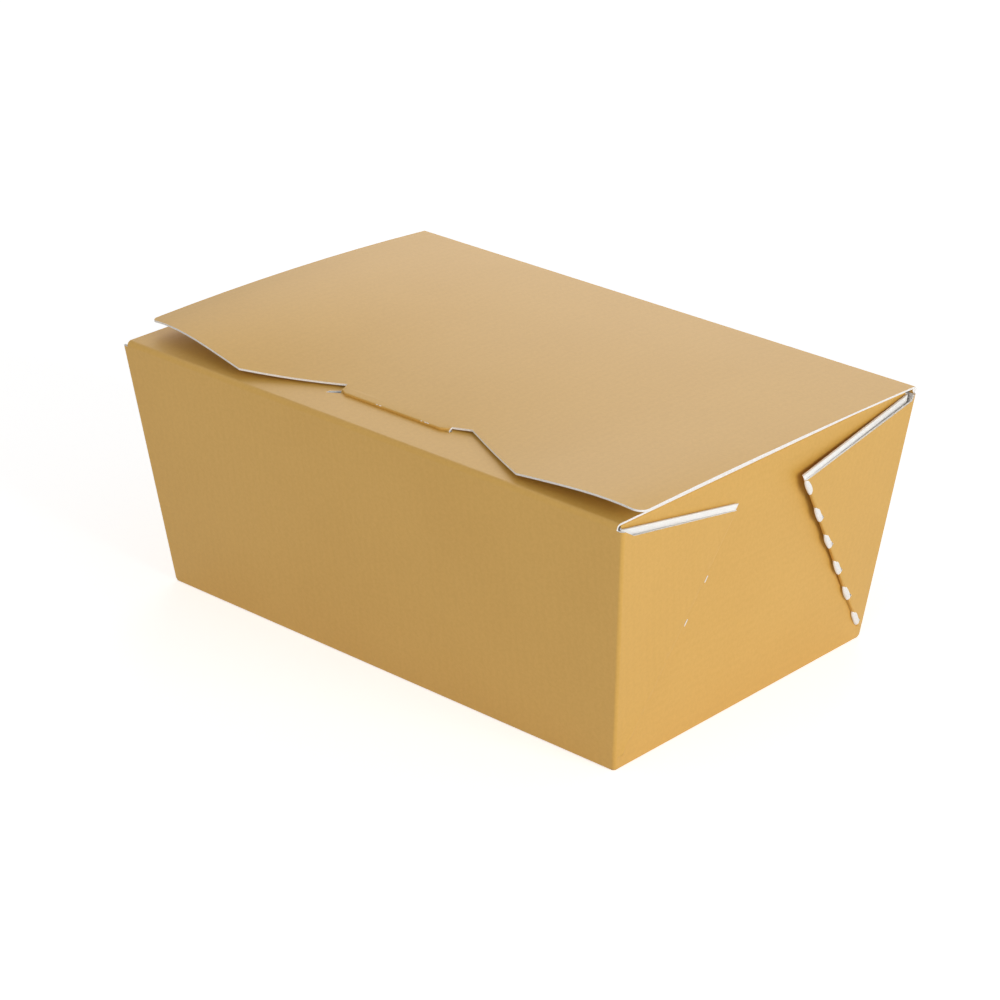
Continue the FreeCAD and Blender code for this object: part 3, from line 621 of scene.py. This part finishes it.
def back_ridge_section(x):
    """The back wall's top edge, swollen by the crease: a half round as wide as the board, which
    stands on the wall and closes the gap below the lid's rolled crease. It is the same all along."""
    back = BASE_HALF[1] + FLARE_WIDE * RIM
    radius = BOARD / 2 + RIDGE_SPARE
    turn = np.linspace(0, math.pi, RIDGE_STEPS)
    round_top = np.stack([back - BOARD / 2 + radius * np.cos(turn),
                          RIDGE_TOP - radius + radius * np.sin(turn)], axis=1)
    foot = np.array([[back - BOARD - RIDGE_SPARE, RIM - RIDGE_SINK],
                     [back + RIDGE_SPARE - RIDGE_SINK * FLARE_WIDE, RIM - RIDGE_SINK]])
    return np.concatenate([round_top, foot])


def tongue_root_section(x):
    """The bulged crease at the tongue's root: from the lid's top it falls gently to a rounded
    nose, which ends on the front flap. Near the tongue's two ends a smooth step brings its reach
    down to half."""
    end = np.clip((TONGUE_HALF - abs(x)) / ROOT_TAPER, 0, 1)
    nose_y = ROOT_START - (ROOT_REACH - NOSE) * (0.5 + 0.5 * end * end * (3 - 2 * end))
    nose_z = ROOT_TOP - ROOT_FALL - NOSE
    turn = np.linspace(math.pi / 2, math.pi, NOSE_STEPS)
    nose = np.stack([nose_y + NOSE * np.cos(turn), nose_z + NOSE * np.sin(turn)], axis=1)
    share = np.linspace(0, 1, ROOT_STEPS)[:-1, None]
    top = np.array([ROOT_START, ROOT_TOP]) * (1 - share) + nose[0] * share
    under = np.array([[nose[-1, 0], FRONT_FLAP_LEVEL], [ROOT_START, FRONT_FLAP_LEVEL],
                      [ROOT_START, ROOT_TOP]]) + ROOT_UNDER
    return np.concatenate([top, nose, under])


ridge_half = BASE_HALF[0] + FLARE_LONG * RIM - CORNER_ROUND
root_half = TONGUE_HALF - ROOT_END_GAP
swept("back_ridge", (-ridge_half, 0, ridge_half), back_ridge_section, "carton")
swept("tongue_root", np.linspace(-root_half, root_half, ROOT_PLACES), tongue_root_section, "lid")
root_flecks()
torn_cuts("torn_cuts_back", 1, range(CUTS), BACK_TUFT, BACK_TUFT_SHIFT)
torn_cuts("torn_cuts_front", -1, FRONT_TEARS, FRONT_TUFT, FRONT_TUFT_SHIFT)


# ---------------------------------------------------------------- floor, light and camera

def white_where_seen(tree, lit, seen):
    """Mixes two shaders: seen for camera, glossy and transmitted rays, lit for all others."""
    path = node(tree, "LightPath").outputs
    direct = maths(tree, "MAXIMUM", path["Is Camera Ray"], path["Is Glossy Ray"])
    direct = maths(tree, "MAXIMUM", direct, path["Is Transmission Ray"])
    mix = node(tree, "MixShader", {0: direct})
    tree.links.new(lit, mix.inputs[1])
    tree.links.new(seen, mix.inputs[2])
    return mix.outputs[0]


def pale_floor():
    """A wide floor. Its own glow brings what the camera sees of it up to white but for shadow."""
    half = FLOOR_HALF
    mesh = bpy.data.meshes.new("floor")
    mesh.from_pydata([(-half, -half, 0), (half, -half, 0), (half, half, 0), (-half, half, 0)], [],
                     [(0, 1, 2, 3)])
    floor = bpy.data.objects.new("floor", mesh)
    bpy.context.scene.collection.objects.link(floor)
    material = bpy.data.materials.new("floor")
    material.use_nodes = True
    tree = material.node_tree
    tree.nodes.clear()
    plain = node(tree, "BsdfDiffuse", {0: (FLOOR_GREY, FLOOR_GREY, FLOOR_GREY, 1)}).outputs[0]
    glow = node(tree, "Emission", {0: (1, 1, 1, 1), 1: FLOOR_GLOW}).outputs[0]
    both = node(tree, "AddShader")
    tree.links.new(plain, both.inputs[0])
    tree.links.new(glow, both.inputs[1])
    output = node(tree, "OutputMaterial")
    tree.links.new(white_where_seen(tree, plain, both.outputs[0]), output.inputs[0])
    mesh.materials.append(material)


def studio():
    """A white surround that lights softly."""
    world = bpy.data.worlds.new("studio")
    bpy.context.scene.world = world
    world.use_nodes = True
    tree = world.node_tree
    tree.nodes.clear()
    lit = node(tree, "Background", {0: (1, 1, 1, 1), 1: WORLD_LIGHT}).outputs[0]
    seen = node(tree, "Background", {0: (1, 1, 1, 1), 1: 1.0}).outputs[0]
    output = node(tree, "OutputWorld")
    tree.links.new(white_where_seen(tree, lit, seen), output.inputs[0])


def lamp(name, place, target, size, power):
    """A square soft lamp at a place, turned to a target."""
    light = bpy.data.lights.new(name, "AREA")
    light.size = size
    light.energy = power
    thing = bpy.data.objects.new(name, light)
    thing.location = place
    thing.rotation_euler = (Vector(target) - Vector(place)).to_track_quat("-Z", "Y").to_euler()
    bpy.context.scene.collection.objects.link(thing)


def camera():
    """The camera, looking down on the front-right corner: its azimuth turns from straight ahead
    at the front towards the right end, and its roll is clockwise."""
    azimuth, elevation, roll = (math.radians(angle) for angle in CAMERA_TURN)
    behind = Vector((math.sin(azimuth) * math.cos(elevation),
                     -math.cos(azimuth) * math.cos(elevation), math.sin(elevation)))
    level = Vector((math.cos(azimuth), math.sin(azimuth), 0))
    upright = behind.cross(level)
    right = math.cos(roll) * level + math.sin(roll) * upright
    up = math.cos(roll) * upright - math.sin(roll) * level
    lens = bpy.data.cameras.new("camera")
    lens.lens = LENS
    lens.sensor_width = SENSOR
    lens.clip_start = NEAR_CLIP
    thing = bpy.data.objects.new("camera", lens)
    turn = Matrix((right, up, behind)).transposed().to_4x4()
    thing.matrix_world = Matrix.Translation(CAMERA_PLACE) @ turn
    bpy.context.scene.collection.objects.link(thing)
    bpy.context.scene.camera = thing


pale_floor()
studio()
for lamp_name, (lamp_place, lamp_target, lamp_size, lamp_power) in LAMPS.items():
    lamp(lamp_name, lamp_place, lamp_target, lamp_size, lamp_power)
camera()
bpy.context.scene.view_settings.view_transform = "Standard"
